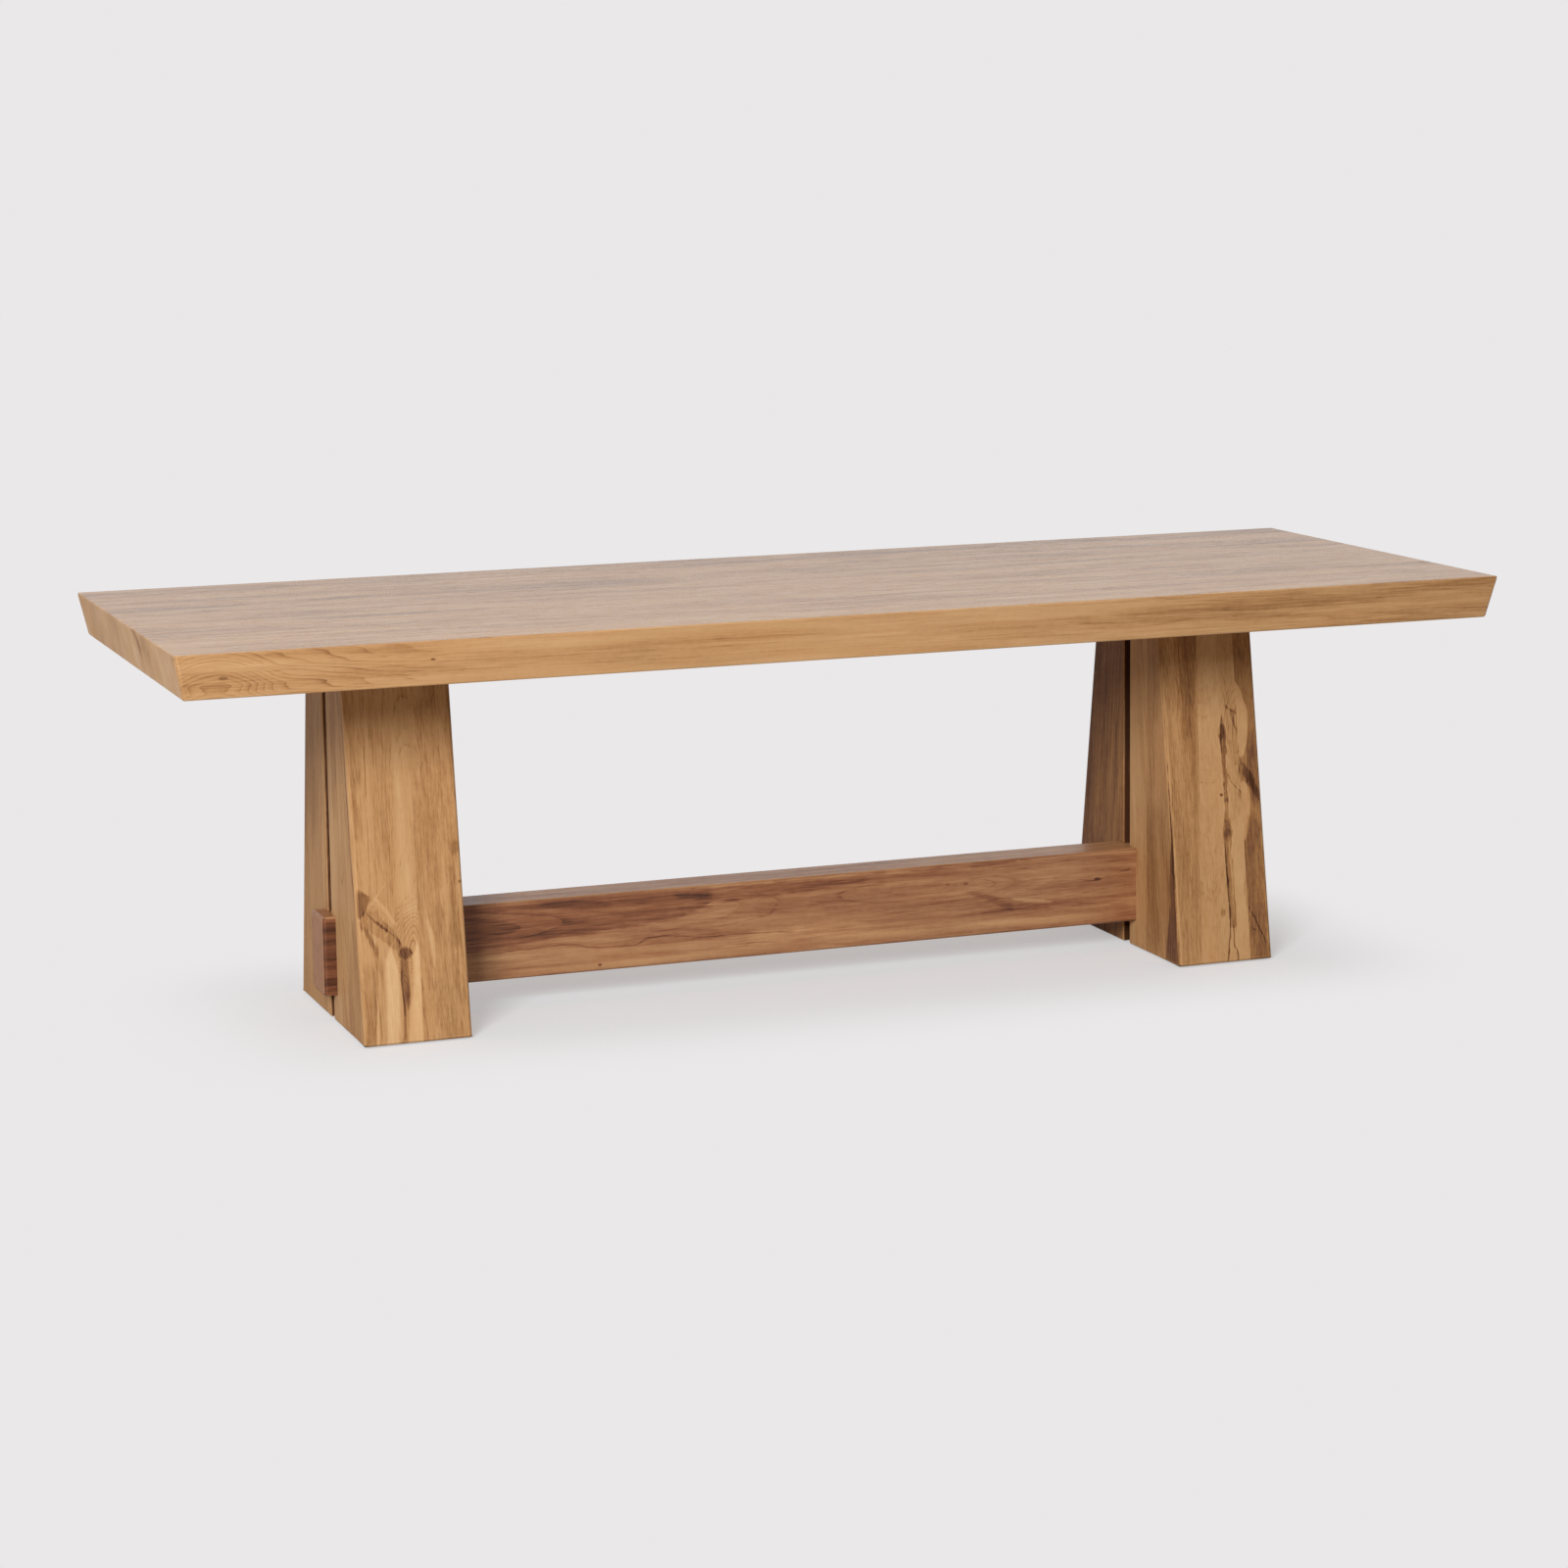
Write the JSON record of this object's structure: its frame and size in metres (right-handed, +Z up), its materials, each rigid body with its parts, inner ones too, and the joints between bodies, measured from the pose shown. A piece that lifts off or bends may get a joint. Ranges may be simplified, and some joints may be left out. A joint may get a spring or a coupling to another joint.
{
  "type": "trestle dining table",
  "caption": "Long oak dining table: a slab-like top with a mitred, undercut drop edge on two slotted, leaning trestles joined by a through stretcher.",
  "frame": {"origin": "on the floor under the middle of the top", "axes": "+X along the table, +Y across it to the back, +Z up"},
  "size_m": [2.5984, 0.9484, 0.78],
  "materials": {
    "oak_top": "oak, planed and sanded, matt hardwax oil",
    "oak_posts": "oak with knots and cracks, sanded, matt hardwax oil",
    "oak_stretcher": "darker oak, sanded, matt hardwax oil",
    "oak_underside": "oak, planed, thinly oiled",
    "beech": "turned beech, raw",
    "zinc_steel": "bright zinc plating",
    "felt": "pressed wool felt"
  },
  "bodies": {
    "root": {"bolt_washers": "zinc_steel", "drop_edge_back": "oak_top", "drop_edge_front": "oak_top", "drop_edge_left": "oak_top", "drop_edge_right": "oak_top", "felt_pads": "felt", "glue_block_back_left": "oak_underside", "glue_block_back_right": "oak_underside", "glue_block_front_left": "oak_underside", "glue_block_front_right": "oak_underside", "head_bolts": "zinc_steel", "head_dowels": "beech", "insert_nuts": "zinc_steel", "left_back_post_core": "oak_posts", "left_back_post_face_1": "oak_posts", "left_back_post_face_2": "oak_posts", "left_back_post_inner_lower": "oak_posts", "left_back_post_inner_upper": "oak_posts", "left_bearer": "oak_underside", "left_front_post_core": "oak_posts", "left_front_post_face_1": "oak_posts", "left_front_post_face_2": "oak_posts", "left_front_post_inner_lower": "oak_posts", "left_front_post_inner_upper": "oak_posts", "middle_batten": "oak_underside", "right_back_post_core": "oak_posts", "right_back_post_face_1": "oak_posts", "right_back_post_face_2": "oak_posts", "right_back_post_face_3": "oak_posts", "right_back_post_inner_lower": "oak_posts", "right_back_post_inner_upper": "oak_posts", "right_bearer": "oak_underside", "right_front_post_core": "oak_posts", "right_front_post_face_1": "oak_posts", "right_front_post_face_2": "oak_posts", "right_front_post_face_3": "oak_posts", "right_front_post_inner_lower": "oak_posts", "right_front_post_inner_upper": "oak_posts", "stretcher": "oak_stretcher", "stretcher_dowels": "beech", "top_board_1": "oak_top", "top_board_2": "oak_top", "top_board_3": "oak_top", "top_board_4": "oak_top", "top_board_5": "oak_top", "top_board_6": "oak_top", "top_board_7": "oak_top", "top_board_8": "oak_top", "top_screws": "zinc_steel"}
  },
  "joints": []
}
